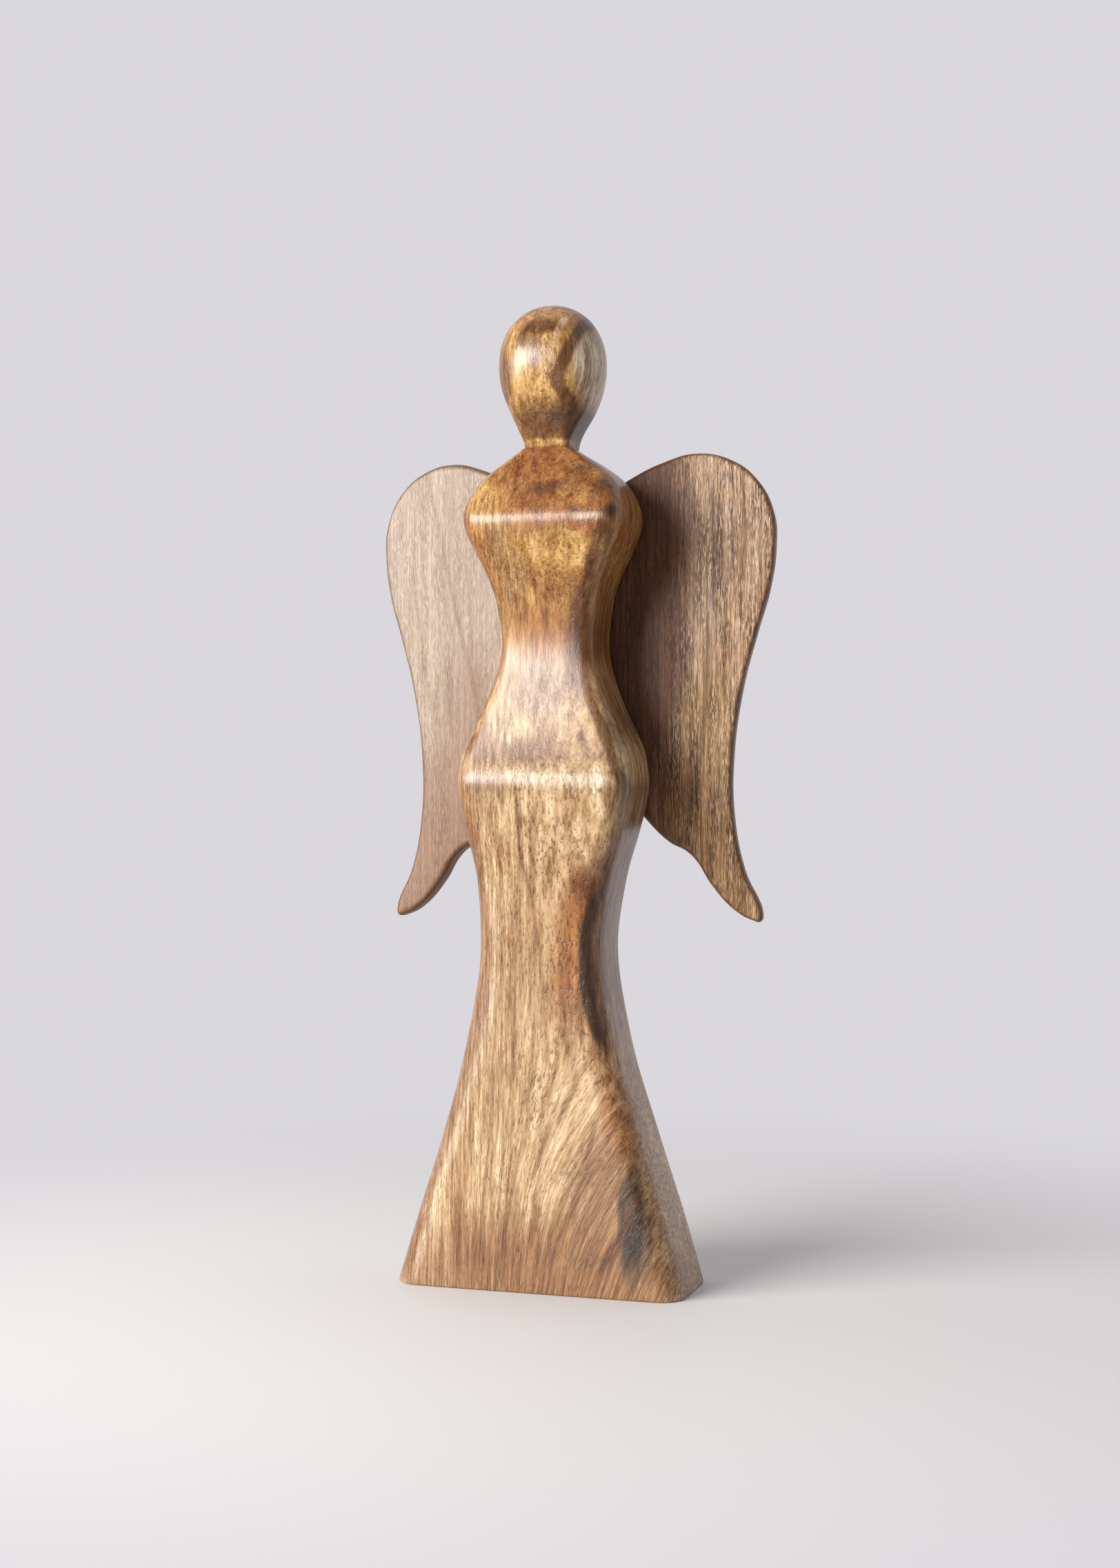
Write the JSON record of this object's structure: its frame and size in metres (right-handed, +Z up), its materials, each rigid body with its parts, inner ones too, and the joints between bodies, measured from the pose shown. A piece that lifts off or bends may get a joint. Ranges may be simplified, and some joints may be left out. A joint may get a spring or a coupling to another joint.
{
  "type": "figurine",
  "caption": "A carved wooden angel with a plain rounded head, a waisted body that flares to a long skirt, and flat curved board wings screwed to its back.",
  "frame": {"origin": "on the face that the figure stands on, in line with the middle of the torso and halfway through the plank", "axes": "+Z up through the head, the front faces -Y, and the figure's own left is at +X"},
  "size_m": [0.1726, 0.0622, 0.4],
  "materials": {
    "figure_wood": "satin wax over golden brown wood with dark streaks",
    "wing_wood": "satin wax over open-grained brown wood",
    "screw_steel": "zinc plated"
  },
  "bodies": {
    "root": {"figure": "figure_wood", "wing_left": "wing_wood", "wing_right": "wing_wood", "wing_screws": "screw_steel"}
  },
  "joints": []
}
